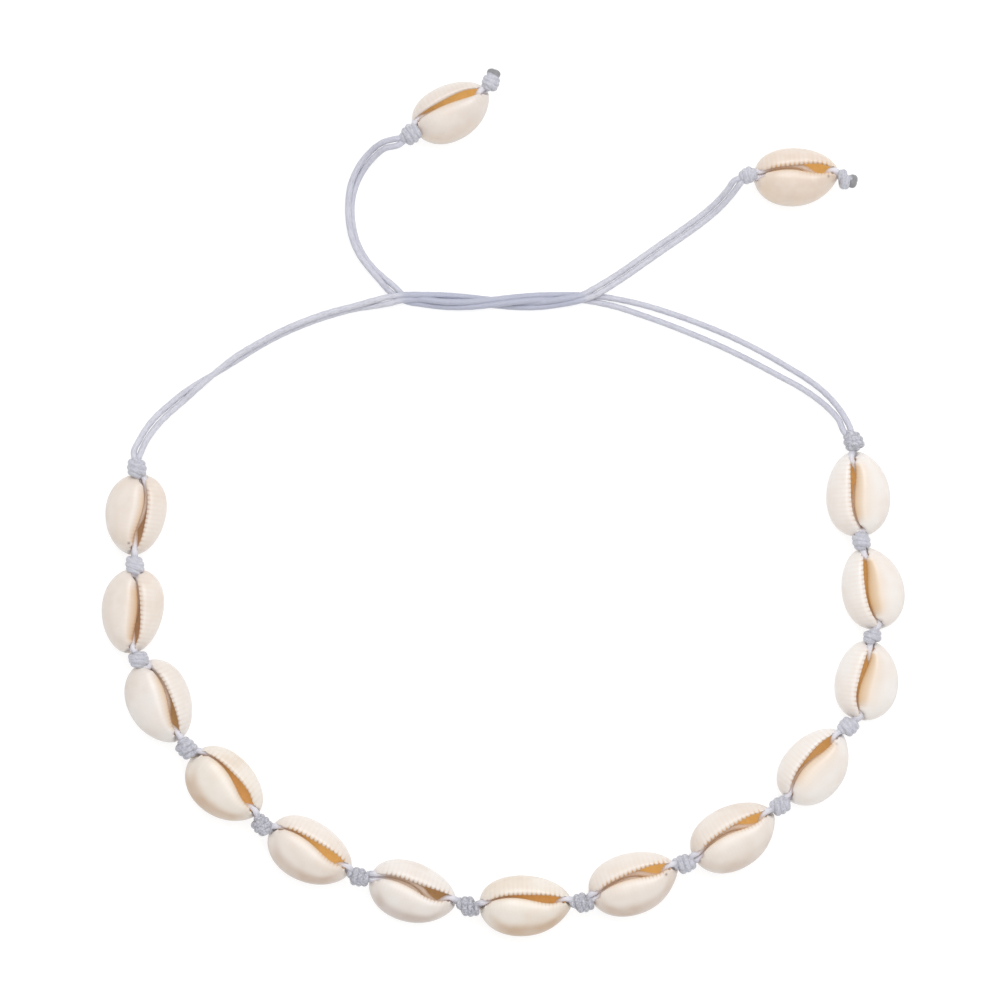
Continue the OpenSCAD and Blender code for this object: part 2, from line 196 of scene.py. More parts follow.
# x, y, heading of the cord, length, width, turn of the wraps round the cord in degrees, their slant, how grey
# they are (their own greying and painted shade, which also darkens the strands next to them), how much wider
# the knot is where the cord goes on
ROW_KNOTS: list[tuple[float, ...]] = [
    (-73, 43.1, -84, 3.6, 3.8, 70, 0.5, 0.35, 0.5),
    (-73.4, 23.8, -80, 3.4, 3.6, 60, 0.5, 0.2, 0.5),
    (-72.6, 4.9, -72, 2.8, 3.9, 80, 0.4, 0.35, -0.4),
    (-63.1, -12.8, -44, 3.7, 3.8, 60, 0.2, 0.6, 0),
    (-48, -28.2, -45, 3.7, 3.7, 50, 0.2, 0.9, 0.2),
    (-28.8, -38.5, -12, 3.7, 3.6, 55, -0.2, 0.8, 0),
    (-6.9, -44.4, -3, 3.8, 4, 65, -0.4, 1, 0.2),
    (15.8, -43.7, 12, 3.8, 3.9, 60, -0.4, 0.85, 0.2),
    (36.3, -35.9, 20, 3.6, 3.7, 50, -0.2, 0.45, 0),
    (55.4, -24.3, 28, 3.6, 3.5, 60, 0.2, 0.4, -0.2),
    (69, -8.5, 45, 3, 3.7, 60, 0, 0.2, 0),
    (73.8, 9.5, 82, 2.2, 3.7, 70, 0, 0.4, -0.2),
    (71.6, 28.5, 106, 3.2, 3.5, 60, 0.3, 0.3, -0.3),
    (70, 48.5, 115, 3.8, 3.9, 70, 0.5, 0.75, -0.9),
]
# the same, with the length of the burnt ends last
END_KNOTS: list[tuple[float, ...]] = [
    (-18.4, 109.6, 45, 3.5, 3.9, 60, 0.1, 0.5, 0.7, 0),
    (-2.3, 120.2, 72, 3.2, 3.4, 60, 0.1, 0.4, -0.5, 0.75),
    (49, 101.5, 28, 2.8, 3.1, 60, 0.1, 0.3, 0, 0),
    (68.3, 100.7, -14, 2.2, 4, 70, -0.4, 0.5, -0.2, 1.2),
]
# place along the shell, way under the smooth lip where the strands hide and where they show, height as a
# share of the shell's height where they hide and where they show
THREAD_RUN: list[tuple[float, ...]] = [
    (-0.86, 0, 0, 0.57, 0.63),
    (-0.6, 0.4, 0, 0.55, 0.69),
    (0.1, 1.5, 0.25, 0.56, 0.73),
    (0.35, 1.7, 1.5, 0.55, 0.64),
    (0.6, 1.7, 1.9, 0.54, 0.55),
    (0.86, 0, 0, 0.64, 0.64),
]
# the row at which strands can lie free of the lip, their way out there and at the row before, and their rise
FREE_AT = 4
FREE_OUT = (1.5, 0.3)
FREE_RISE = 0.1
# x and y of the middle of a pair of free strands, half the space between them, heights of strands a and b
LEFT_START: list[tuple[float, ...]] = [
    (-73, 45.9, 0.65, 5.8, 5.8),
    (-71.9, 48.5, 0.65, 5, 5),
    (-70.3, 51.2, 0.7, 3.5, 3.5),
    (-68.7, 53.2, 0.7, 2, 2),
    (-66.5, 55.3, 0.65, 1, 1),
    (-64.4, 57.1, 0.65, 0.6, 0.8),
    (-61.6, 59.3, 0.45, 0.6, 1.7),
    (-57.7, 62.1, 0, 0.6, 1.9),
    (-53.4, 65.1, -0.35, 0.6, 1.75),
    (-49, 67.8, -0.3, 0.6, 1.75),
    (-44.5, 70.2, -0.3, 0.6, 1.75),
    (-39.4, 72.4, -0.3, 0.6, 1.75),
    (-34.4, 74.1, -0.3, 0.6, 1.75),
    (-29.4, 75.4, -0.3, 0.6, 1.75),
    (-25.6, 76.2, -0.55, 1.1, 1.9),
    (-22.6, 76.8, -0.65, 1.9, 1.9),
]
LEFT_END: list[tuple[float, ...]] = [
    (18.6, 78.5, -0.65, 1.9, 1.9),
    (21.3, 80.1, -0.65, 1.2, 1.2),
    (24.8, 82.4, -0.65, 0.6, 0.6),
    (28.5, 85, -0.65, 0.6, 0.6),
    (32.5, 87.8, -0.65, 0.6, 0.6),
    (36.6, 90.6, -0.65, 0.6, 0.6),
    (40.4, 93.4, -0.65, 0.9, 0.9),
    (43.4, 96, -0.65, 2.3, 2.3),
    (45.7, 98.6, -0.65, 4.6, 4.6),
    (46.8, 100.1, -0.65, 5.6, 5.6),
]
RIGHT_START: list[tuple[float, ...]] = [
    (68.9, 50.4, -0.65, 5.8, 5.8),
    (67.8, 52.9, -0.65, 5, 5),
    (66, 55.4, -0.8, 3.5, 3.5),
    (63.1, 58.2, -1, 1.9, 1.9),
    (59.9, 60.5, -1.1, 0.9, 0.9),
    (56.6, 62.4, -1.2, 0.6, 0.6),
    (51, 65.5, -1.3, 0.6, 0.6),
    (45.1, 68.4, -1.3, 0.6, 0.6),
    (39.2, 70.9, -1.25, 0.6, 0.6),
    (33.4, 73.1, -1.15, 0.6, 0.6),
    (27.6, 75, -1, 0.6, 0.6),
    (23.6, 76.1, -0.8, 0.6, 0.6),
    (19.6, 76.9, -0.65, 0.6, 0.6),
]
RIGHT_END: list[tuple[float, ...]] = [
    (-22.1, 79, -0.7, 0.6, 0.6),
    (-24.2, 81, -0.5, 0.6, 1.5),
    (-26.3, 83.2, -0.35, 0.6, 1.7),
    (-28.2, 85.7, -0.35, 0.6, 1.7),
    (-29.6, 88.6, -0.35, 0.6, 1.7),
    (-30.4, 92, -0.35, 0.6, 1.7),
    (-30.6, 96, -0.35, 0.6, 1.7),
    (-29.9, 100, -0.5, 0.7, 1.6),
    (-28.3, 103.3, -0.6, 1.4, 1.9),
    (-26.2, 105.8, -0.65, 2.8, 2.8),
    (-23.6, 107.6, -0.65, 4.8, 4.8),
    (-20.9, 108.2, -0.65, 5.7, 5.7),
]
# the twist: its ends, its lowest place and how it bends up from there, how far the pairs swing past each
# other, half the space between a pair's strands, how much thicker its strands are, and their painted blue
# shade
TWIST_X = (-19.9, 15.9)
TWIST_LOW = (-2.0, 76.35)
TWIST_BEND = 0.003
TWIST_SWING = 0.66
TWIST_HALF = 0.48
TWIST_GIRTH = 1.05
TWIST_SHADE = 0.7
# how much painted blue shade darkens the free strands on the right
RIGHT_SHADE = 0.16
# heights of the upper and the lower strand of the left pair and of the right pair, at each eighth of the turn
TWIST_HIGH: list[tuple[float, ...]] = [
    (1.8, 1.8, 0.6, 0.6),
    (1.4, 0.7, 1.5, 0.6),
    (0.9, 0.6, 1.75, 0.9),
    (0.6, 0.6, 1.8, 1.4),
    (0.6, 0.6, 1.8, 1.8),
    (0.6, 0.6, 1.4, 1.8),
    (1.2, 0.7, 0.9, 1.5),
    (1.75, 1.2, 0.6, 0.6),
    (1.8, 1.8, 0.6, 0.6),
]

Colour = tuple[float, float, float]


def linear(r: float, g: float, b: float) -> Colour:
    """A screen colour, from 0 to 255, as the linear colour that a shader takes."""
    return tuple(((c / 255 + 0.055) / 1.055) ** 2.4 if c > 10 else c / 255 / 12.92 for c in (r, g, b))


def ease(value: np.ndarray, low: float, high: float) -> np.ndarray:
    """A smooth step from 0 to 1 as value goes from low to high."""
    t = np.clip((value - low) / (high - low), 0, 1)
    return t * t * (3 - 2 * t)


def through(points: np.ndarray, counts: list[int]) -> np.ndarray:
    """Smooth line or sheet through rows of points.

    Args:
        points: Rows of points along the first axis, with x, y, z along the last.
        counts: How many rows each stretch between two given rows is divided into.

    Returns:
        All rows, the given ones among them.
    """
    steps = np.diff(points, axis=0)
    chord = np.maximum(np.linalg.norm(steps, axis=-1, keepdims=True), 1e-9)
    slope = steps / chord
    inner = (chord[1:] * slope[:-1] + chord[:-1] * slope[1:]) / (chord[1:] + chord[:-1])
    tangent = np.concatenate([slope[:1], inner, slope[-1:]])
    rows = [points[:1]]
    for k, count in enumerate(counts):
        t = (np.arange(1, count + 1) / count).reshape([-1] + [1] * (points.ndim - 1))
        h = chord[k]
        rows.append(
            (2 * t**3 - 3 * t**2 + 1) * points[k]
            + (t**3 - 2 * t**2 + t) * h * tangent[k]
            + (3 * t**2 - 2 * t**3) * points[k + 1]
            + (t**3 - t**2) * h * tangent[k + 1]
        )
    return np.concatenate(rows)


def linked(name: str, data: Any) -> bpy.types.Object:
    """Makes an object of a mesh, lamp or camera and puts it in the scene.

    Args:
        name: Name of the object.
        data: Its mesh, lamp or camera.

    Returns:
        The object.
    """
    made = bpy.data.objects.new(name, data)
    bpy.context.scene.collection.objects.link(made)
    return made


class Signal:
    """A socket's value in a node tree, which takes part in Python arithmetic."""

    def __init__(self, book: "NodeBook", socket: bpy.types.NodeSocket) -> None:
        """Wraps a socket of the book's tree."""
        self.book = book
        self.socket = socket

    def _math(self, operation: str, first: Any, second: Any) -> "Signal":
        """One Math node on two signals or numbers."""
        return self.book.signal("ShaderNodeMath", {"operation": operation}, {0: first, 1: second})

    def __add__(self, other: Any) -> "Signal":
        """self + other."""
        return self._math("ADD", self, other)

    __radd__ = __add__

    def __sub__(self, other: Any) -> "Signal":
        """self - other."""
        return self._math("SUBTRACT", self, other)

    def __rsub__(self, other: Any) -> "Signal":
        """other - self."""
        return self._math("SUBTRACT", other, self)

    def __mul__(self, other: Any) -> "Signal":
        """self * other."""
        return self._math("MULTIPLY", self, other)

    __rmul__ = __mul__

    def __truediv__(self, other: Any) -> "Signal":
        """self / other."""
        return self._math("DIVIDE", self, other)

    def __rtruediv__(self, other: Any) -> "Signal":
        """other / self."""
        return self._math("DIVIDE", other, self)

    def top(self, other: Any) -> "Signal":
        """The larger of self and other."""
        return self._math("MAXIMUM", self, other)

    def sine(self) -> "Signal":
        """Sine of self in radians."""
        return self._math("SINE", self, 0.0)

    def angle(self, across: "Signal") -> "Signal":
        """Direction of the point (across, self) in radians."""
        return self._math("ARCTAN2", self, across)


class NodeBook:
    """Writes nodes into a shader tree or a geometry tree."""

    def __init__(self, tree: bpy.types.NodeTree) -> None:
        """Starts on a tree."""
        self.tree = tree

    def add(
        self, kind: str, settings: dict[str, Any] | None = None, sockets: dict[Any, Any] | None = None
    ) -> Any:
        """Adds one node.

        Args:
            kind: The node's type.
            settings: Its properties, set first.
            sockets: Values, signals or sockets for its inputs, by name or number.

        Returns:
            The node.
        """
        node = self.tree.nodes.new(kind)
        for name, value in (settings or {}).items():
            setattr(node, name, value)
        for name, value in (sockets or {}).items():
            socket = node.inputs[name]
            if isinstance(value, Signal):
                value = value.socket
            if isinstance(value, bpy.types.NodeSocket):
                self.tree.links.new(value, socket)
            elif socket.type == "RGBA" and len(value) == 3:
                socket.default_value = (*value, 1)
            else:
                socket.default_value = value
        return node

    def signal(self, kind: str, settings: dict[str, Any], sockets: dict[Any, Any], out: Any = 0) -> Signal:
        """Adds one node and wraps one of its outputs."""
        return Signal(self, self.add(kind, settings, sockets).outputs[out])

    def attribute(self, name: str) -> Signal:
        """A number that the mesh carries at its points."""
        return self.signal("ShaderNodeAttribute", {"attribute_name": name}, {}, "Fac")

    def noise(self, place: Any, scale: float, detail: float = 3.0, rough: float = 0.5) -> Signal:
        """Soft noise, about 0.5 on average."""
        sockets = {"Vector": place, "Scale": scale, "Detail": detail, "Roughness": rough}
        return self.signal("ShaderNodeTexNoise", {}, sockets, 0)

    def step(self, value: Any, low: float, high: float, start: float = 0.0, end: float = 1.0) -> Signal:
        """Smooth change from start to end as value goes from low to high."""
        sockets = {"Value": value, "From Min": low, "From Max": high, "To Min": start, "To Max": end}
        return self.signal("ShaderNodeMapRange", {"interpolation_type": "SMOOTHSTEP"}, sockets, 0)

    def mix(self, share: Any, first: Any, second: Any, blend: str = "MIX") -> Signal:
        """Mixes two colours.

        Args:
            share: How much of the second colour shows.
            first: The colour at share 0.
            second: The colour at share 1.
            blend: How they are mixed.

        Returns:
            The mixed colour.
        """
        settings = {"data_type": "RGBA", "blend_type": blend}
        return self.signal("ShaderNodeMix", settings, {0: share, 6: first, 7: second}, 2)

    def shader(self, numbers: dict[str, float], varying: dict[str, Signal]) -> None:
        """Sets the tree's own shader.

        Args:
            numbers: What is the same all over the surface, by socket.
            varying: What changes over the surface, by socket.
        """
        shader = self.tree.nodes["Principled BSDF"]
        for name, number in numbers.items():
            shader.inputs[name].default_value = number
        for name, value in varying.items():
            self.tree.links.new(value.socket, shader.inputs[name])


def new_material(name: str) -> tuple[bpy.types.Material, NodeBook]:
    """Starts a material.

    Args:
        name: Name of the material.

    Returns:
        The material and the book that writes its nodes.
    """
    made = bpy.data.materials.new(name)
    made.use_nodes = True
    return made, NodeBook(made.node_tree)


@dataclass(frozen=True)
class ShellFinish:
    """Glossy cowrie shell: cream outside, golden between the teeth, brown inside, with painted shade low on
    its flanks and at its edge and a painted glow in its mouth.
    """

    tone: Tone
    face: Colour
    # the lower flanks: partly their own colour, partly painted shade where they turn away from the light;
    # lighter than the crown on the dusky and sandy ends, as painted light
    lower_flank_and_shade: Colour
    # painted shade on the low smooth side, where it turns away from the light
    tan: Colour
    # painted edge shade: a greyer band round the outline, just above the widest line
    rim: Colour
    gap_tint: Colour
    blush: Colour
    # painted glow: light that the mouth gives off, standing in for light shining through the shell
    painted_glow: Colour
    flush: float = 0.0
    hollow: Colour = field(default_factory=lambda: linear(192, 168, 136))
    clouded: Colour = field(default_factory=lambda: linear(246, 235, 223))
    mottled: Colour = field(default_factory=lambda: linear(246, 243, 240))
    # painted shade in the small pit
    pit_shade: Colour = field(default_factory=lambda: linear(140, 122, 118))
    cloud_scale: float = 120
    mottle_scale: float = 420
    streak_scale: float = 900
    patch: tuple[float, float] = (0.35, 0.65)
    cloud_shift: float = 0.3
    cloud_share: float = 0.3
    mottle_share: float = 0.14
    rim_shade_share: float = 0.65
    ridge_share: float = 0.11
    deep_shade: float = 0.82
    bump_strength: float = 0.1
    bump_depth: float = 0.00015
    roughness: float = 0.36
    coat: float = 0.25
    coat_roughness: float = 0.2

    def material(self) -> bpy.types.Material:
        """Builds the material.

        Returns:
            The material.
        """
        made, book = new_material(f"cowrie_{self.tone.value}")
        place = book.add("ShaderNodeTexCoord").outputs["Object"]
        mottle = book.step(book.noise(place, self.mottle_scale, 4), *self.patch)
        cloud = book.step(book.noise(place, self.cloud_scale, 2), *self.patch)
        low = book.attribute("low")
        # on the way down to the widest line the skin turns to the lower flank colour, with its painted shade
        sunk = book.step(low + self.cloud_shift * (cloud - 0.5), 0.08, 0.6)
        skin = book.mix(sunk, self.face, self.lower_flank_and_shade)
        skin = book.mix(cloud * self.cloud_share, skin, self.clouded, "MULTIPLY")
        skin = book.mix(mottle * self.mottle_share, skin, self.mottled)
        # painted shade: the low smooth side is darkened, shell by shell, as it turns away from the light
        skin = book.mix(book.attribute("tan") * (0.6 + 0.3 * cloud), skin, self.tan)
        # painted edge shade: a thin grey band round the outline as seen from above
        edge = self.rim_shade_share * book.step(low, 0.34, 0.56) * book.step(low, 0.62, 0.95, 1.0, 0.0)
        skin = book.mix(edge, skin, self.rim)
        skin = book.mix(book.attribute("ridge") * self.ridge_share, skin, self.gap_tint)
        skin = book.mix(book.attribute("flush") * self.flush, skin, self.blush)
        skin = book.mix(book.attribute("blush"), skin, self.blush)
        streak = book.noise(place, self.streak_scale, 2)
        # golden tint between the teeth, along the toothed lip and under the lips
        groove = book.attribute("groove") * (0.7 + 0.6 * streak)
        skin = book.mix(book.step(groove, 0.05, 1.0), skin, self.gap_tint)
        inside = book.attribute("inside")
        shaded = tuple(c * self.deep_shade for c in self.hollow)
        deep = book.mix(book.step(streak, 0.3, 0.7), self.hollow, shaded)
        skin = book.mix(book.step(inside, 0.1, 0.7), skin, deep)
        # painted shade: the small pit is darkened
        skin = book.mix(book.attribute("pit"), skin, self.pit_shade)
        grain = 0.6 * book.noise(place, self.streak_scale, 3) + 0.4 * mottle
        bump = {"Strength": self.bump_strength, "Distance": self.bump_depth, "Height": grain}
        normal = book.signal("ShaderNodeBump", {}, bump, "Normal")
        # painted glow: the hollow emits light deep inside, standing in for light shining through the shell
        # into its mouth
        light = book.mix(book.step(inside, 0.35, 1.05), (0, 0, 0), self.painted_glow)
        numbers = {
            "Roughness": self.roughness,
            "Coat Weight": self.coat,
            "Coat Roughness": self.coat_roughness,
            "Emission Strength": 1.0,
        }
        book.shader(numbers, {"Base Color": skin, "Emission Color": light, "Normal": normal})
        return made


@dataclass(frozen=True)
class CordFinish:
    """Waxed braided cord, pale lavender grey."""

    name: str = "waxed_cord"
    wax: Colour = field(default_factory=lambda: linear(200, 200, 210))
    shade: Colour = field(default_factory=lambda: linear(176, 178, 191))
    grey: Colour = field(default_factory=lambda: linear(118, 117, 124))
    burnt: Colour = field(default_factory=lambda: linear(138, 137, 140))
    # painted shade and golden reflection on the strands in a shell's mouth
    warm: Colour = field(default_factory=lambda: linear(200, 180, 160))
    # painted shade: the cord darker and bluer in the twist and on the right
    dim: Colour = field(default_factory=lambda: linear(166, 170, 190))
    # painted light: the strands where they come up near a shell's ends
    pale: Colour = field(default_factory=lambda: linear(236, 232, 238))
    # painted glow of the strands in a shell's mouth
    painted_glow: Colour = field(default_factory=lambda: linear(86, 66, 48))
    patchy: Colour = field(default_factory=lambda: linear(222, 223, 230))
    patch_share: float = 0.3
    warm_share: float = 0.8
    bump_strength: float = 0.3
    bump_depth: float = 0.00004
    roughness: float = 0.5
    coat: float = 0.1
    coat_roughness: float = 0.4
    sheen: float = 0.15

    def material(self) -> bpy.types.Material:
        """Builds the material.

        Returns:
            The material.
        """
        made, book = new_material(self.name)
        place = book.add("ShaderNodeTexCoord").outputs["Object"]
        turn = book.attribute("round_sin").angle(book.attribute("round_cos"))
        along = book.attribute("along") * (2 * math.pi / (BRAID_PITCH * MM))
        rise = (YARNS * turn + along).sine().top((YARNS * turn - along).sine())
        fibre = (YARNS * YARN_FIBRES * turn + 3 * along).sine()
        patches = book.step(book.noise(place, 500, 3, 0.6), 0.35, 0.65)
        depth = book.step(rise, -0.4, 0.9)
        skin = book.mix(0.45 + 0.55 * depth, self.shade, self.wax)
        skin = book.mix(patches * self.patch_share, skin, self.patchy)
        speck = book.step(book.noise(place, 2200, 4, 0.75), 0.42, 0.6)
        # grey specks on the knots: partly their own greying, partly painted shade, which also darkens the
        # strands next to a knot
        skin = book.mix(book.attribute("tight") * (0.1 + 0.65 * speck), skin, self.grey)
        # painted shade, darker and bluer, in the twist and on the free strands on the right
        skin = book.mix(book.attribute("dim"), skin, self.dim)
        # painted light: the strands are paler where they come up near the shell's ends
        skin = book.mix(book.attribute("pale"), skin, self.pale)
        # painted shade and golden reflection on the strands in a mouth
        skin = book.mix(book.attribute("warm") * self.warm_share, skin, self.warm)
        skin = book.mix(book.attribute("burnt"), skin, self.burnt)
        height = rise + 0.25 * fibre + 0.6 * patches + 0.9 * speck
        bump = {"Strength": self.bump_strength, "Distance": self.bump_depth, "Height": height}
        normal = book.signal("ShaderNodeBump", {}, bump, "Normal")
        # painted glow: the strands in a mouth emit a little warm light
        light = book.mix(book.attribute("warm"), (0, 0, 0), self.painted_glow)
        numbers = {
            "Roughness": self.roughness,
            "Coat Weight": self.coat,
            "Coat Roughness": self.coat_roughness,
            "Sheen Weight": self.sheen,
            "Emission Strength": 1.0,
        }
        book.shader(numbers, {"Emission Color": light, "Base Color": skin, "Normal": normal})
        return made


def shell_finishes() -> list[ShellFinish]:
    """Sets out the finishes of the shells.

    Returns:
        One finish for each tone.
    """
    amber = ShellFinish(
        Tone.AMBER,
        face=linear(233, 223, 214),
        lower_flank_and_shade=linear(214, 199, 186),
        tan=linear(178, 142, 112),
        rim=linear(198, 191, 184),
        gap_tint=linear(212, 160, 92),
        blush=linear(224, 184, 126),
        painted_glow=linear(168, 130, 72),
    )
    dusky = replace(
        amber,
        tone=Tone.DUSKY,
        face=linear(224, 214, 206),
        lower_flank_and_shade=linear(233, 218, 203),
        tan=linear(190, 158, 134),
        rim=linear(196, 192, 188),
    )
    sandy = replace(
        dusky,
        tone=Tone.SANDY,
        face=linear(224, 208, 194),
        lower_flank_and_shade=linear(238, 219, 198),
        rim=linear(196, 189, 182),
    )
    pale = ShellFinish(
        Tone.PALE,
        face=linear(233, 226, 220),
        lower_flank_and_shade=linear(221, 212, 204),
        tan=linear(174, 150, 136),
        rim=linear(202, 199, 196),
        gap_tint=linear(190, 148, 106),
        blush=linear(220, 180, 130),
        painted_glow=linear(116, 90, 60),
    )
    rosy = ShellFinish(
        Tone.ROSY,
        face=linear(231, 220, 210),
        lower_flank_and_shade=linear(224, 210, 198),
        tan=linear(190, 168, 152),
        rim=linear(200, 195, 190),
        gap_tint=linear(192, 144, 104),
        blush=linear(218, 176, 128),
        painted_glow=linear(112, 86, 66),
    )
    ivory = ShellFinish(
        Tone.IVORY,
        face=linear(234, 225, 214),
        lower_flank_and_shade=linear(210, 190, 166),
        tan=linear(184, 140, 94),
        rim=linear(194, 184, 170),
        gap_tint=linear(200, 150, 88),
        blush=linear(216, 174, 116),
        painted_glow=linear(154, 112, 60),
    )
    frost = ShellFinish(
        Tone.FROST,
        face=linear(239, 233, 228),
        lower_flank_and_shade=linear(234, 226, 219),
        tan=linear(190, 168, 152),
        rim=linear(206, 203, 200),
        gap_tint=linear(200, 152, 98),
        blush=linear(222, 184, 134),
        painted_glow=linear(150, 113, 64),
        flush=0.4,
    )
    return [pale, rosy, amber, ivory, dusky, sandy, frost]


class BraidTree:
    """Geometry nodes that run a braided cord along every line of a mesh of edges."""

    def __init__(self) -> None:
        """Builds the tree with its named inputs."""
        tree = bpy.data.node_groups.new("braided_cord", "GeometryNodeTree")
        self.tree = tree
        side = tree.interface
        side.new_socket("Lines", in_out="INPUT", socket_type="NodeSocketGeometry")
        for name, kind, value in (
            ("Thickness", "Float", CORD_D * MM),
            ("Ring step", "Float", CORD_RING_STEP * MM),
            ("Yarns", "Int", YARNS),
            ("Braid pitch", "Float", BRAID_PITCH * MM),
            ("Braid depth", "Float", BRAID_DEPTH * MM),
            ("Finish", "Material", None),
        ):
            socket = side.new_socket(name, in_out="INPUT", socket_type=f"NodeSocket{kind}")
            if value is not None:
                socket.default_value = value
        side.new_socket("Cord", in_out="OUTPUT", socket_type="NodeSocketGeometry")
        self.keys = {item.name: item.identifier for item in side.items_tree if item.in_out == "INPUT"}
        self._wire()

    def _store(self, book: NodeBook, geometry: Any, name: str, value: Any) -> Any:
        """Keeps a number at each point under a name that the finish reads.

        Args:
            book: The book of the tree.
            geometry: What has the points.
            name: Name of the number.
            value: The number.

        Returns:
            The geometry with the number on it.
        """
        settings = {"data_type": "FLOAT", "domain": "POINT"}
        sockets = {"Geometry": geometry, "Name": name, "Value": value}
        return book.add("GeometryNodeStoreNamedAttribute", settings, sockets).outputs["Geometry"]

    def _named(self, book: NodeBook, name: str) -> Signal:
        """A number kept under a name."""
        settings = {"data_type": "FLOAT"}
        return book.signal("GeometryNodeInputNamedAttribute", settings, {"Name": name}, "Attribute")

    def _wire(self) -> None:
        """Adds and joins the nodes."""
        book = NodeBook(self.tree)
        given = {s.name: Signal(book, s) for s in book.add("NodeGroupInput").outputs}
        line = book.add("GeometryNodeMeshToCurve", {}, {"Mesh": given["Lines"]}).outputs[0]
        spaced = {"Curve": line, "Length": given["Ring step"]}
        line = book.add("GeometryNodeResampleCurve", {"mode": "LENGTH"}, spaced).outputs[0]
        length = book.signal("GeometryNodeSplineParameter", {}, {}, "Length")
        line = self._store(book, line, "along", length)
        corners = {"Resolution": given["Yarns"] * YARN_CORNERS}
        ring = book.add("GeometryNodeCurvePrimitiveCircle", {"mode": "RADIUS"}, corners)
        ring.inputs["Radius"].default_value = 1.0
        index = book.signal("GeometryNodeInputIndex", {}, {})
        turn = index * (2 * math.pi) / (given["Yarns"] * YARN_CORNERS)
        profile = self._store(book, ring.outputs["Curve"], "round_sin", turn.sine())
        profile = self._store(book, profile, "round_cos", (turn + math.pi / 2).sine())
        scale = self._named(book, "girth") * given["Thickness"] * 0.5
        swept = {"Curve": line, "Profile Curve": profile, "Scale": scale, "Fill Caps": True}
        tube = book.add("GeometryNodeCurveToMesh", {}, swept).outputs[0]
        around = self._named(book, "round_sin").angle(self._named(book, "round_cos")) * given["Yarns"]
        climb = self._named(book, "along") * (2 * math.pi) / given["Braid pitch"]
        rise = (around + climb).sine().top((around - climb).sine()) * given["Braid depth"]
        normal = book.add("GeometryNodeInputNormal").outputs[0]
        push = book.add("ShaderNodeVectorMath", {"operation": "SCALE"}, {0: normal, "Scale": rise}).outputs[0]
        tube = book.add("GeometryNodeSetPosition", {}, {"Geometry": tube, "Offset": push}).outputs[0]
        tube = book.add("GeometryNodeSetShadeSmooth", {}, {"Geometry": tube}).outputs[0]
        tube = book.add("GeometryNodeRealizeInstances", {}, {"Geometry": tube}).outputs[0]
        finished = {"Geometry": tube, "Material": given["Finish"]}
        tube = book.add("GeometryNodeSetMaterial", {}, finished).outputs[0]
        book.add("NodeGroupOutput", {}, {"Cord": tube})

    def run(
        self, name: str, lines: list["CordLine"], finish: bpy.types.Material, step: float = CORD_RING_STEP
    ) -> bpy.types.Object:
        """Runs cord along lines and returns it as a plain mesh.

        Args:
            name: Name of the piece.
            lines: The lines that the cord's middle follows.
            finish: The cord's material.
            step: Space between rings of the mesh, in millimetres.

        Returns:
            The finished object, with nothing live on it.
        """
        mesh = bpy.data.meshes.new(f"{name}_lines")
        edges: list[tuple[int, int]] = []
        start = 0
        for line in lines:
            edges += [(start + i, start + i + 1) for i in range(len(line.points) - 1)]
            start += len(line.points)
        mesh.from_pydata((np.concatenate([line.points for line in lines]) * MM).tolist(), edges, [])
        for key in CORD_MARKS:
            values = np.concatenate([getattr(line, key) for line in lines]).astype(np.float32)
            mesh.attributes.new(key, "FLOAT", "POINT").data.foreach_set("value", values)
        guide = linked(f"{name}_guide", mesh)
        modifier = guide.modifiers.new("braid", "NODES")
        modifier.node_group = self.tree
        modifier[self.keys["Finish"]] = finish
        modifier[self.keys["Ring step"]] = step * MM
        graph = bpy.context.evaluated_depsgraph_get()
        plain = bpy.data.meshes.new_from_object(guide.evaluated_get(graph))
        plain.name = name
        guide.modifiers.remove(modifier)
        bpy.data.objects.remove(guide)
        bpy.data.meshes.remove(mesh)
        return linked(name, plain)


@dataclass
class CordLine:
    """The middle line of one strand, with its thickness and state at each point."""

    points: np.ndarray
    girth: np.ndarray = field(default_factory=lambda: np.ones(1))
    tight: np.ndarray = field(default_factory=lambda: np.zeros(1))
    burnt: np.ndarray = field(default_factory=lambda: np.zeros(1))
    warm: np.ndarray = field(default_factory=lambda: np.zeros(1))
    dim: np.ndarray = field(default_factory=lambda: np.zeros(1))
    pale: np.ndarray = field(default_factory=lambda: np.zeros(1))

    def __post_init__(self) -> None:
        """Gives every point its own values."""
        count = len(self.points)
        for key in CORD_MARKS:
            value = np.asarray(getattr(self, key), float)
            setattr(self, key, np.full(count, value.ravel()[0]) if value.size == 1 else value)


def across(path: np.ndarray) -> tuple[np.ndarray, np.ndarray]:
    """Directions across a path.

    Args:
        path: Points of the path.

    Returns:
        The level direction to the path's left and the one up from it, at each point.
    """
    way = np.concatenate([path[1:], path[-1:]]) - np.concatenate([path[:1], path[:-1]])
    way /= np.linalg.norm(way, axis=1, keepdims=True)
    side = np.stack([-way[:, 1], way[:, 0], np.zeros(len(way))], axis=1)
    side /= np.linalg.norm(side, axis=1, keepdims=True)
    return side, np.cross(way, side)


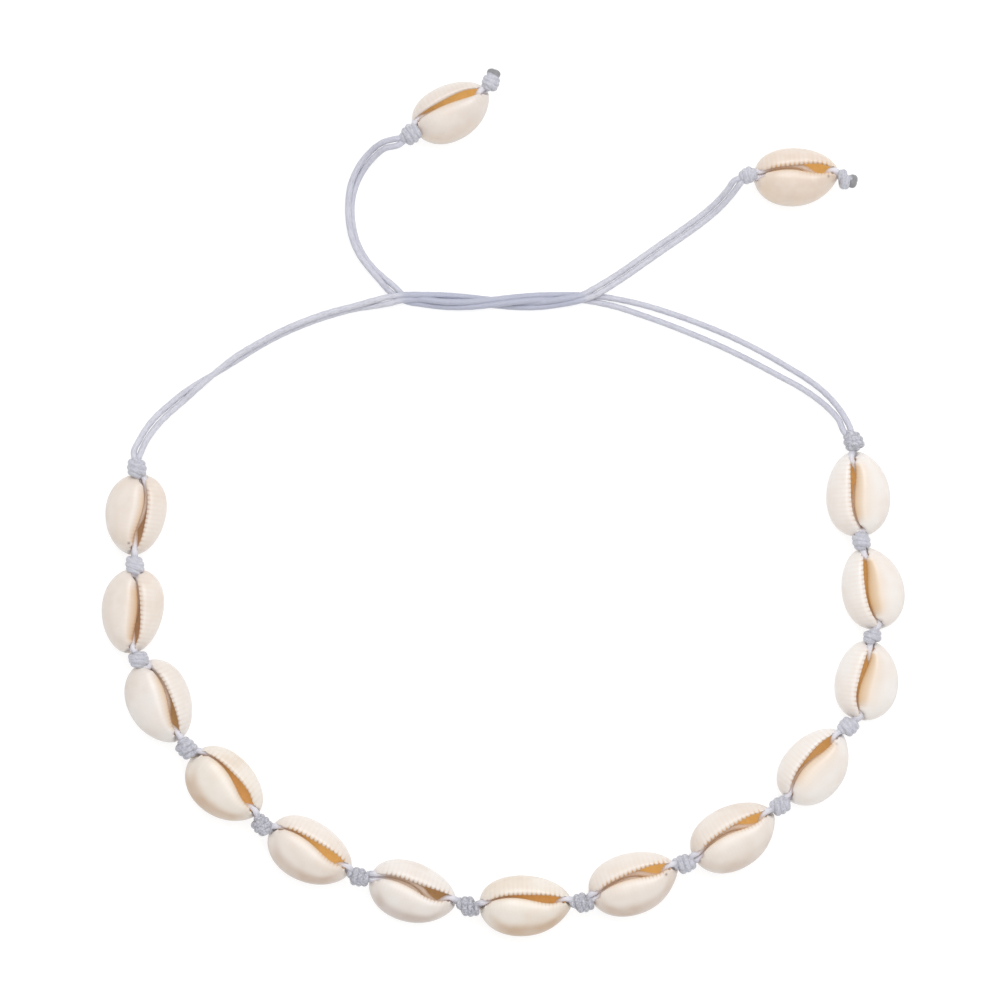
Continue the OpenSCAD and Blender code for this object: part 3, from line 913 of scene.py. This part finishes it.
@dataclass
class Knot:
    """A knot of the doubled cord: both strands wrapped side by side round their own run."""

    name: str
    node: str
    x: float
    y: float
    heading: float
    length: float
    width: float
    turn: float
    slant: float
    grey: float
    cone: float
    tail: float = 0.0
    girth: float = 1.05

    def inside(self, side: int) -> np.ndarray:
        """Point in the knot where a cord ends: side is -1 where the cord comes from, 1 where it goes to."""
        return self.placed(np.array([[side * self.length * KNOT_SEAT, 0, 0]]))[0]

    def placed(self, points: np.ndarray) -> np.ndarray:
        """Moves points from the knot's own frame to where the knot lies.

        Args:
            points: Points with x along the cord and z up from its middle.

        Returns:
            The moved points.
        """
        c, s = math.cos(math.radians(self.heading)), math.sin(math.radians(self.heading))
        x, y, z = points[:, 0], points[:, 1], points[:, 2]
        return np.stack([self.x + c * x - s * y, self.y + s * x + c * y, KNOT_Z + z], axis=1)

    def strand(self, first: bool) -> CordLine:
        """Draws one of the two strands, which lie side by side all the way.

        Args:
            first: Whether it is the first strand.

        Returns:
            The strand's line through the knot, round it and back into it, and on to its burnt end if any.
        """
        thick = CORD_D / 2 * self.girth
        end = (self.length + KNOT_SPREAD) / 2 - thick
        wide = self.width / 2 - thick
        back = TAIL_ROOM if self.tail else 0.0
        wraps = KNOT_WRAPS[1] if end > KNOT_LONG else KNOT_WRAPS[0]
        band = 2 * (end - back - abs(self.slant) / 3) / (wraps + 1)
        run = wraps * band / 2
        hand = 1 if first else -1
        begin = math.radians(self.turn)
        reach = 2 * math.pi * wraps
        core = KNOT_CORE * hand
        points = [[-end * 0.9, core * math.cos(begin), core * math.sin(begin)]]
        points.append([end * 0.3, core * math.cos(begin - 0.5), core * math.sin(begin - 0.5)])
        steps = round(WRAP_POINTS * wraps)
        for i in range(steps + 1):
            t = i / steps
            angle = begin + reach * t
            rise = min(1.0, 0.5 + 6 * t, 0.45 + 6 * (1 - t))
            x = run * (1 - 2 * t) + self.slant * math.cos(angle) + hand * band / 2 - back
            swell = wide * rise * math.sqrt(1 - KNOT_ROUND * min(abs(x) / (end + 0.2), 1) ** 2)
            cone = 1 - KNOT_CONE * max(-self.cone * x / end, 0)
            swell *= (1 + 0.04 * math.sin(1.6 * angle + self.turn)) * cone
            points.append([x, swell * math.cos(angle), swell * math.sin(angle)])
        last = begin + reach
        points.append([-end * 0.4, core * math.cos(last + 0.8), core * math.sin(last + 0.8)])
        points.append([end * 0.6, core * math.cos(last), core * math.sin(last)])
        counts = [5] * (len(points) - 1)
        if self.tail:
            tip = self.length / 2 + KNOT_GAP + self.tail
            points.append([tip - 1.3, hand * TAIL_APART, 0])
            points.append([tip, hand * TAIL_APART, 0])
            counts += [4, 14]
        line = through(self.placed(np.array(points)), counts)
        girth = np.full(len(line), self.girth * KNOT_PRESS)
        burnt = np.zeros(len(line))
        if self.tail:
            gap = np.linalg.norm(line - line[-1], axis=1)
            burnt = 1 - ease(gap, self.tail + 0.1, self.tail + 0.7)
            girth *= 1 + TAIL_SWELL * (1 - ease(gap, 1, 2))
            girth *= np.sqrt(np.maximum(1 - (1 - np.minimum(gap / TAIL_TIP, 1)) ** 2, 0.02))
        return CordLine(line, girth, np.full(len(line), self.grey), burnt)

    def build(self, braid: BraidTree, finish: bpy.types.Material) -> bpy.types.Object:
        """Builds the knot."""
        made = braid.run(self.name, [self.strand(True), self.strand(False)], finish, KNOT_RING_STEP)
        return dressed(made, self.node)


def dressed(piece: bpy.types.Object, node: str) -> bpy.types.Object:
    """Ties a finished piece to the frame, in place of its solid.

    Args:
        piece: The finished piece.
        node: The solid that the piece takes the place of.

    Returns:
        The piece.
    """
    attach(piece, BODY)
    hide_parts(node)
    return piece


@dataclass
class Cowrie:
    """One cowrie shell, hollow, with its toothed mouth up."""

    name: str
    node: str
    x: float
    y: float
    heading: float
    length: float
    width: float
    gape: float
    mouth: tuple[float, float, float, float]
    hide: float
    tone: Tone
    slit: float
    roll: float
    narrow: float
    full: float
    teeth: float
    free: float
    tan: float
    spot: float = 0.0
    directions: int = 336
    tooth: float = 0.92
    canal: float = 1.6

    @property
    def height(self) -> float:
        """Height of the shell above the surface."""
        return self.length * SHELL_RISE

    @property
    def margin(self) -> float:
        """Height of the shell's widest line."""
        return self.height * MARGIN_RISE

    def placed(self, points: np.ndarray) -> np.ndarray:
        """Moves points from the shell's own frame to where the shell lies.

        Args:
            points: Points with x towards the front end, y to the toothed side and z up from the surface.

        Returns:
            The moved points.
        """
        c, s = math.cos(math.radians(self.heading)), math.sin(math.radians(self.heading))
        x, y = points[..., 0], points[..., 1]
        return np.stack([self.x + c * x - s * y, self.y + s * x + c * y, points[..., 2]], axis=-1)

    def mouth_line(self, p: np.ndarray) -> np.ndarray:
        """Middle line of the mouth at p, from -1 at the back end to 1 at the front."""
        return self.width / 2 * np.polyval(np.polyfit(MOUTH_AT, self.mouth, 3), p)

    def mouth_half(self, p: np.ndarray, side: Any) -> np.ndarray:
        """Half the width of the mouth.

        Args:
            p: Places along the mouth, from -1 at the back end to 1 at the front.
            side: 1 on the toothed side, -1 on the smooth side.

        Returns:
            The way from the mouth's middle line to the lip at each place.
        """
        toothed = np.asarray(side) > 0
        spread = np.where(p < MOUTH_FRONT, *MOUTH_SPREAD)
        lens = self.slit + self.gape * MOUTH_OPEN * np.exp(-(((p - MOUTH_FRONT) / spread) ** 2))
        share = np.where(toothed, MOUTH_SHARE[0], MOUTH_SHARE[1] - ROLL_CLOSES * self.roll)
        canal = (self.canal - 0.5 * self.hide * (p < 0)) / 2
        ends = canal * ease(np.abs(p), np.where(toothed, 0.74, 0.66), 0.85)
        return np.maximum(lens * share, ends)

    def rings(self) -> tuple[np.ndarray, dict[str, np.ndarray]]:
        """Rings of points from the underside round the outside, over the lips and down to the floor inside.

        Returns:
            The points, ring by ring, in the shell's own frame, and what its finish reads at each, by name.
        """
        a = np.linspace(0, 2 * np.pi, self.directions, endpoint=False)
        cos, sin = np.cos(a), np.sin(a)
        half, wide = self.length / 2, self.width / 2
        front = self.narrow * np.maximum(cos, 0)
        power = np.where(sin > 0, 0.88 + 0.12 * front, 1.02 + 0.5 * front)
        reach = wide * np.where(sin > 0, self.full, 1) * (1 - EGG * cos)
        rim = np.stack([half * cos, np.sign(sin) * reach * np.abs(sin) ** power], axis=1)
        p = MOUTH_REACH * cos
        closing = np.sqrt(np.minimum(1, np.abs(sin) / math.sin(math.radians(20))))
        side = np.where(sin < -0.001, -1.0, 1.0)
        edge = np.stack([half * p, self.mouth_line(p) + side * closing * self.mouth_half(p, side)], axis=1)
        crest = self.height * (1 - CREST_FALL * np.abs(cos) ** 4 - CREST_LEAN * sin)
        low = self.height * NOTCH_RISE
        crest = low + (crest - low) * ease(np.abs(sin), 0.1, 0.24)
        hollow = rim * [1 - 2 * SHELL_WALL / self.length, 1 - 2 * SHELL_WALL / self.width]
        core = np.stack([CORE_REACH * self.length * cos, 0 * cos], axis=1)

        def ring(flat: np.ndarray, z: Any) -> np.ndarray:
            """A ring from its plan and its heights."""
            return np.concatenate([flat, np.broadcast_to(z, cos.shape)[:, None]], axis=1)

        m = self.margin
        rows = [ring(0 * core, 0.0)]
        rows.append(ring(core + 0.45 * (rim - core), 0.0))
        rows.append(ring(core + 0.84 * (rim - core), 0.4 * m))
        roll = self.roll * (side < 0) * (1 - ease(np.abs(p), 0.6, 0.8))
        lip = 0.92 - 0.3 * roll
        for share, rise in (*CROWN, (0.12 + 0.16 * roll, 1 - 0.04 * roll), (0, lip)):
            rows.append(ring(edge + np.reshape(share, (-1, 1)) * (rim - edge), m + rise * (crest - m)))
        under = np.maximum(m + lip * (crest - m) - LIP_T, m)
        rows.append(ring(edge + 0.2 * (hollow - edge), under))
        rows.append(ring(hollow, m - 0.3))
        rows.append(ring(core + 0.5 * (hollow - core), SHELL_WALL))
        rows.append(ring(0 * core, SHELL_WALL))
        points = through(np.stack(rows), list(RING_COUNTS))
        points[..., 2] = np.maximum(points[..., 2], 0)
        ends = np.cumsum([0, *RING_COUNTS])
        place = np.interp(np.arange(len(points)), ends, np.arange(len(ends)))
        return self._teeth(points, place, p, side)

    def _teeth(
        self, points: np.ndarray, place: np.ndarray, p: np.ndarray, side: np.ndarray
    ) -> tuple[np.ndarray, dict[str, np.ndarray]]:
        """Cuts the teeth into the lips and works out what the finish reads.

        Args:
            points: The smooth rings.
            place: Where each ring is among the rows that it was drawn through.
            p: Place along the mouth of each direction.
            side: 1 on the toothed side, -1 on the smooth side.

        Returns:
            The rings with their teeth and pit, and the finish's numbers at each point, by name.
        """
        x = points[..., 0]
        out = np.abs(points[..., 1] - (self.mouth_line(p) + side * self.mouth_half(p, side)))
        row = place[:, None]
        toothed = (side > 0)[None]
        pitch = np.where(toothed, self.tooth, self.tooth * SMOOTH_PITCH)
        wave = 0.5 + 0.5 * np.cos(2 * np.pi * x / pitch + 0.7)
        gap = (1 - wave) ** 2
        span = self.teeth * np.where(
            toothed,
            ease(p, -0.8, -0.6) * (1 - ease(p, 0.72, 0.82)),
            SMOOTH_TEETH * ease(p, -0.1, 0.3) * (1 - ease(p, 0.7, 0.8)),
        )
        face = (row <= LIP_ROW) * (row > RIM_ROW)
        near = np.exp(-((out / np.where(toothed, *TOOTH_REACH)) ** 2)) * face
        below = (row > LIP_ROW) * (1 - ease(row, 7.0, 8.4)) * np.ones_like(x)
        points = points.copy()
        rib = RIB_DEPTH * np.exp(-((out / RIB_REACH) ** 2)) * face * toothed
        points[..., 2] -= span * gap * (TOOTH_DEPTH * near + rib)
        edge = np.exp(-out / EDGE_REACH) * face + below
        notch = np.where(toothed, 0.05 * gap - 0.03 * wave, 0.04 * gap - 0.02 * wave)
        points[..., 1] += side * span * edge * notch
        # how low each point lies, for the lower flank colour and the edge shade; halved on the toothed side
        # so that its painted shade is weaker there
        low = np.clip(1 - points[..., 2] / self.height, 0, 1) * np.where(toothed, 0.5, 1)
        sunk = ease(row, 7.1, 7.9)
        # what lies inside the mouth; marked less towards the back and the ends, so the painted glow is weaker
        # there
        inside = sunk * (1 - ease(np.abs(p), 0.78, 0.86) * (1 - ease(row, 7.6, 8.2)))
        inside = inside * (0.72 + 0.28 * ease(x, -0.35 * self.length, 0.35 * self.length))
        soft = np.exp(-((out / GAP_TINT_REACH) ** 2)) * face + (row > LIP_ROW)
        groove = span * (0.2 * toothed + (1 - 0.2 * toothed) * gap) * soft * np.where(toothed, 1, 0.8)
        ridge = gap * (1 - ease(np.abs(p), 0.7, 0.88)) * np.exp(-((out / RIDGE_REACH) ** 2))
        ridge = ridge * face * np.where(toothed, 1, 0.4)
        middle = ease(p, -0.75, -0.4) * (1 - ease(p, 0.6, 0.8)) * (side < 0)
        blush = (0.35 + 0.65 * self.roll) * middle * ease(row, 6.3 - 0.8 * self.roll, 6.95) * (1 - sunk)
        pit_x = PIT_AT * self.length / 2
        pit_y = self.mouth_line(np.array(PIT_AT)) - self.mouth_half(np.array(PIT_AT), -1) - PIT_OUT
        pit = np.exp(-(((x - pit_x) ** 2 + (points[..., 1] - pit_y) ** 2) / PIT_SPREAD)) * face
        pit *= min(self.spot * 8, 1)
        points[..., 2] -= self.spot * pit
        # painted shade on the low smooth side, as strong as the shell's side faces away from the light
        tan = self.tan * (side < 0) * face * ease(low, 0.06, 0.18) * (1 - ease(np.abs(p), 0.5, 0.86))
        flush = middle * ease(row, 4.6, 6.4) * (1 - sunk)
        marks = {"low": low, "inside": inside, "groove": groove, "ridge": ridge}
        marks |= {"blush": blush, "flush": flush, "pit": pit, "tan": tan}
        return points, marks

    def build(self, finish: bpy.types.Material) -> bpy.types.Object:
        """Builds the shell.

        Args:
            finish: The material of the shell's tone.

        Returns:
            The finished shell.
        """
        rings, marks = self.rings()
        rows, count = rings.shape[:2]
        body = self.placed(rings[1:-1]).reshape(-1, 3)
        poles = self.placed(rings[[0, -1], 0])
        j = np.arange(count)
        ahead = (j + 1) % count
        k = np.arange(rows - 3)[:, None] * count
        quads = np.stack([k + j, k + ahead, k + count + ahead, k + count + j], axis=-1).reshape(-1, 4)
        base = len(body)
        last = base - count
        caps = [(base, int(ahead[i]), int(i)) for i in j]
        caps += [(last + int(i), last + int(ahead[i]), base + 1) for i in j]
        mesh = bpy.data.meshes.new(self.name)
        mesh.from_pydata((np.concatenate([body, poles]) * MM).tolist(), [], quads.tolist() + caps)
        mesh.polygons.foreach_set("use_smooth", [True] * len(mesh.polygons))
        for key, values in marks.items():
            flat = np.concatenate([values[1:-1].ravel(), values[[0, -1], 0]]).astype(np.float32)
            mesh.attributes.new(key, "FLOAT", "POINT").data.foreach_set("value", flat)
        mesh.materials.append(finish)
        mesh.update()
        return dressed(linked(self.name, mesh), self.node)


@dataclass
class ShellStrands:
    """The two strands that run through a shell's mouth from one knot to the next."""

    name: str
    node: str
    shell: Cowrie
    before: Knot
    after: Knot

    def face(self, knot: Knot, towards: np.ndarray, side: int) -> np.ndarray:
        """Where the strands leave a knot towards a point.

        Args:
            knot: The knot.
            towards: The point.
            side: 1 past the knot, -1 before it.

        Returns:
            A point just outside the knot, at the height of the other point.
        """
        way = towards[:2] - np.array([knot.x, knot.y])
        way /= np.linalg.norm(way)
        heading = math.radians(knot.heading)
        along = side * float(way @ np.array([math.cos(heading), math.sin(heading)]))
        slope = math.sqrt(max(0.0, 1 - along * along))
        reach = (knot.length / 2 + KNOT_GAP + CORD_D / 2 * slope) / along
        return np.array([knot.x + reach * way[0], knot.y + reach * way[1], towards[2]])

    def lines(self) -> list[CordLine]:
        """Draws the two strands.

        Returns:
            Their lines, from inside one knot to inside the next.
        """
        shell = self.shell
        run = np.array(THREAD_RUN)
        under = shell.hide * run[:, 1] + (1 - shell.hide) * run[:, 2]
        rise = shell.hide * run[:, 3] + (1 - shell.hide) * run[:, 4]
        along = shell.length / 2 * run[:, 0]
        own = np.stack([along, shell.mouth_line(run[:, 0]) - under, shell.height * rise], axis=1)
        own[FREE_AT, 1] += FREE_OUT[0] * shell.free
        own[FREE_AT - 1, 1] += FREE_OUT[1] * shell.free
        own[FREE_AT, 2] += FREE_RISE * shell.height * shell.free
        path = shell.placed(own)
        first, last = self.face(self.before, path[0], 1), self.face(self.after, path[-1], -1)
        path = np.concatenate([[first], path, [last]])
        side, up = across(path)
        lean_back = STRAND_LEAN[1] + shell.hide * (STRAND_LEAN[0] - STRAND_LEAN[1])
        lean = np.radians(np.interp(np.arange(len(path)), [4, 6], [lean_back, STRAND_LEAN[0]]))[:, None]
        axis = shell.placed(np.array([[0, 0, 0], [1, 0, 0]]))
        made = []
        for hand in (-1, 1):
            line = path + hand * STRAND_STEP / 2 * (np.sin(lean) * side + np.cos(lean) * up)
            line = np.concatenate([[self.before.inside(1)], line, [self.after.inside(-1)]])
            line = through(line, [6] * (len(line) - 1))
            p = 2 * (line - axis[0]) @ (axis[1] - axis[0]) / shell.length
            # painted shade, golden reflection and glow on the strands inside the mouth
            warm = 1 - ease(np.abs(p), 0.5, 0.85)
            # painted shadow: the strands darken towards each knot, as much as the knot is grey
            tight = self.after.grey * ease(p, 0.9, 1.1) + self.before.grey * ease(-p, 0.9, 1.1)
            # painted light on the strands where they come up near the shell's ends
            pale = 0.6 * ease(np.abs(p), 0.55, 0.75) * (1 - ease(np.abs(p), 0.85, 1.05))
            made.append(CordLine(line, tight=tight, warm=warm, pale=pale))
        return made

    def build(self, braid: BraidTree, finish: bpy.types.Material) -> bpy.types.Object:
        """Builds both strands as one piece."""
        return dressed(braid.run(self.name, self.lines(), finish), self.node)


def beside(route: list[tuple[float, ...]], side: int) -> np.ndarray:
    """Draws one strand of a pair beside the pair's route.

    Args:
        route: Rows of x, y, half the space between the strands, and the heights of strands a and b.
        side: 1 for strand a, -1 for strand b.

    Returns:
        The strand's points.
    """
    q = np.array(route)
    way = np.concatenate([q[1:], q[-1:]])[:, :2] - np.concatenate([q[:1], q[:-1]])[:, :2]
    left = np.stack([-way[:, 1], way[:, 0]], axis=1) / np.linalg.norm(way, axis=1, keepdims=True)
    flat = q[:, :2] + side * q[:, 2:3] * left
    return np.concatenate([flat, q[:, 3:4] if side > 0 else q[:, 4:5]], axis=1)


def twisted(pair: int, side: int) -> np.ndarray:
    """A strand's way through the twist, from its left end to its right end.

    Args:
        pair: 1 for the pair from the left of the row, -1 for the pair from the right.
        side: 1 for strand a, -1 for strand b.

    Returns:
        The strand's points.
    """
    turn = np.linspace(0, 2 * np.pi, len(TWIST_HIGH))
    x = np.linspace(*TWIST_X, len(TWIST_HIGH))
    y = TWIST_LOW[1] + TWIST_BEND * (x - TWIST_LOW[0]) ** 2
    upper = -pair * side
    high = np.array(TWIST_HIGH)[:, (0 if pair > 0 else 2) + (0 if upper > 0 else 1)]
    return np.stack([x, y + pair * TWIST_SWING * np.sin(turn) + upper * TWIST_HALF, high], axis=1)


@dataclass
class FreeCord:
    """One of the four free strands, from an end of the row, through the twist, to the knot at its end."""

    name: str
    node: str
    start: Knot
    end: Knot
    points: np.ndarray
    leaves: int

    def line(self) -> np.ndarray:
        """Draws the strand's middle line.

        Returns:
            Its points from inside its first knot to inside its last, in millimetres.
        """
        first, last = self.start.inside(self.leaves), self.end.inside(-1)
        points = np.concatenate([[first], self.points, [last]])
        line = through(points, [8] * (len(points) - 1))
        line[:, 2] = np.maximum(line[:, 2], CORD_D / 2 * TWIST_GIRTH + BRAID_DEPTH)
        return line

    def build(
        self, braid: BraidTree, finish: bpy.types.Material, on_it: list[bpy.types.Object]
    ) -> bpy.types.Object:
        """Args:
            braid: The tree that makes cord.
            finish: The cord's material.
            on_it: The pieces that hang on the strand's end; not used.

        Returns:
            The finished strand.
        """
        line = self.line()
        low, high = TWIST_X
        share = ease(line[:, 0], low - 2, low + 1) * (1 - ease(line[:, 0], high - 1, high + 2))
        share *= 1 - ease(np.abs(line[:, 1] - TWIST_LOW[1]), 3, 5)
        # painted shade in the twist and on the strands from the right of the row
        dim = np.maximum(TWIST_SHADE * share, RIGHT_SHADE if self.leaves > 0 else 0)
        run = CordLine(line, 1 + (TWIST_GIRTH - 1) * share, dim=dim)
        made = dressed(braid.run(self.name, [run], finish), self.node)
        return made


@dataclass
class Studio:
    """The pale surface, the soft lights and the camera."""

    middle: tuple[float, float] = (-0.5, 36.7)
    camera_height: float = 850.0
    seen: float = 200.0
    seen_at: float = 4.0
    sensor: float = 36.0
    floor_reach: float = 3.0
    floor_sides: int = 64
    floor_drop: float = 0.00002
    floor_grey: float = 0.35
    floor_light: float = 0.72
    air_light: float = 0.6

    def camera(self) -> None:
        """Puts the camera straight above the necklace."""
        data = bpy.data.cameras.new("camera")
        data.sensor_width = self.sensor
        data.lens = self.sensor * (self.camera_height - self.seen_at) / self.seen
        data.clip_start, data.clip_end = 0.01, 20
        made = linked("camera", data)
        made.location = (self.middle[0] * MM, self.middle[1] * MM, self.camera_height * MM)
        bpy.context.scene.camera = made

    def lamp(self, name: str, place: tuple[float, float, float], size: float, power: float) -> None:
        """Adds one soft lamp that faces the necklace.

        Args:
            name: Name of the lamp.
            place: Where it hangs, in metres.
            size: How wide it is, in metres.
            power: Its power in watts.
        """
        data = bpy.data.lights.new(name, "AREA")
        data.shape, data.size, data.energy = "DISK", size, power
        made = linked(name, data)
        made.location = place
        aim = made.location.copy()
        aim.x, aim.y = aim.x - self.middle[0] * MM, aim.y - self.middle[1] * MM
        made.rotation_euler = aim.to_track_quat("Z", "Y").to_euler()

    def surface(self) -> None:
        """Makes the floor and the light that comes from all round."""
        mesh = bpy.data.meshes.new("floor")
        turns = [2 * math.pi * i / self.floor_sides for i in range(self.floor_sides)]
        reach, drop = self.floor_reach, self.floor_drop
        ring = [(reach * math.cos(a), reach * math.sin(a), -drop) for a in turns]
        mesh.from_pydata(ring, [], [list(range(self.floor_sides))])
        made = linked("floor", mesh)
        white, book = new_material("pale_floor")
        shader = book.tree.nodes["Principled BSDF"]
        shader.inputs["Base Color"].default_value = (self.floor_grey, self.floor_grey, self.floor_grey, 1)
        shader.inputs["Roughness"].default_value = 0.9
        shader.inputs["Emission Color"].default_value = (1, 1, 1, 1)
        shader.inputs["Emission Strength"].default_value = self.floor_light
        mesh.materials.append(white)
        world = bpy.data.worlds.new("studio")
        world.use_nodes = True
        world.node_tree.nodes["Background"].inputs["Color"].default_value = (1, 1, 1, 1)
        world.node_tree.nodes["Background"].inputs["Strength"].default_value = self.air_light
        bpy.context.scene.world = world
        bpy.context.scene.view_settings.view_transform = "Standard"

    def build(self) -> None:
        """Sets everything up."""
        self.camera()
        self.surface()
        self.lamp("key", (0.12, 0.48, 0.9), 0.9, 5.1)
        self.lamp("fill", (0.1, -0.2, 1.0), 0.9, 1.6)


class Necklace:
    """The whole necklace."""

    def __init__(self) -> None:
        """Sets out every part of it."""
        sides = ("left", "right")
        self.shells = [
            Cowrie(f"cowrie_{i:02d}", f"shell_{i:02d}", *row)
            for i, row in enumerate(ROW_SHELLS, 1)
        ]
        self.knots = [
            Knot(f"tied_knot_{i:02d}", f"knot_{i:02d}", *row)
            for i, row in enumerate(ROW_KNOTS, 1)
        ]
        self.end_shells = [
            Cowrie(f"cowrie_end_{side}", f"shell_end_{side}", *row)
            for side, row in zip(sides, END_SHELLS)
        ]
        names = [f"{side}_{part}" for side in sides for part in ("inner", "outer")]
        self.end_knots = [
            Knot(f"tied_knot_end_{name}", f"knot_end_{name}", *row)
            for name, row in zip(names, END_KNOTS)
        ]
        self.strands = [
            ShellStrands(f"strands_{i:02d}", f"thread_{i:02d}", shell, self.knots[i - 1], self.knots[i])
            for i, shell in enumerate(self.shells, 1)
        ]
        pairs = (self.end_knots[:2], self.end_knots[2:])
        self.end_strands = [
            ShellStrands(f"strands_end_{side}", f"thread_end_{side}", shell, *pair)
            for side, shell, pair in zip(sides, self.end_shells, pairs)
        ]

    def cords(self) -> list[FreeCord]:
        """Sets out the four free strands.

        Returns:
            Strand a of the left and the right pair, then strand b of both.
        """
        made = []
        for hand, side in (("a", 1), ("b", -1)):
            left = [beside(LEFT_START, side), twisted(1, side), beside(LEFT_END, side)]
            right = [beside(RIGHT_START, side), twisted(-1, side)[::-1], beside(RIGHT_END, side)]
            for end, leaves, first, last, parts in (
                ("left", -1, self.knots[0], self.end_knots[2], left),
                ("right", 1, self.knots[-1], self.end_knots[0], right),
            ):
                name = f"{end}_{hand}"
                points = np.concatenate(parts)
                made.append(FreeCord(f"free_cord_{name}", f"cord_{name}", first, last, points, leaves))
        return made

    def build(self) -> list[bpy.types.Object]:
        """Builds and dresses everything.

        Returns:
            All pieces.
        """
        braid = BraidTree()
        cord = CordFinish().material()
        finishes = {finish.tone: finish.material() for finish in shell_finishes()}
        ends: list[list[bpy.types.Object]] = []
        for i, (shell, strands) in enumerate(zip(self.end_shells, self.end_strands)):
            inner, outer = self.end_knots[2 * i : 2 * i + 2]
            pieces = [inner.build(braid, cord), strands.build(braid, cord)]
            pieces += [shell.build(finishes[shell.tone]), outer.build(braid, cord)]
            ends.append(pieces)
        made = [*ends[0], *ends[1]]
        for free in self.cords():
            made.append(free.build(braid, cord, ends[1 if "left" in free.name else 0]))
        made += [shell.build(finishes[shell.tone]) for shell in self.shells]
        made += [part.build(braid, cord) for part in [*self.knots, *self.strands]]
        return made


def main() -> None:
    """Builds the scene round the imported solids."""
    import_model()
    Studio().build()
    for piece in Necklace().build():
        LOG.info("%s has %d faces", piece.name, len(piece.data.polygons))


if __name__ == "__main__":
    main()
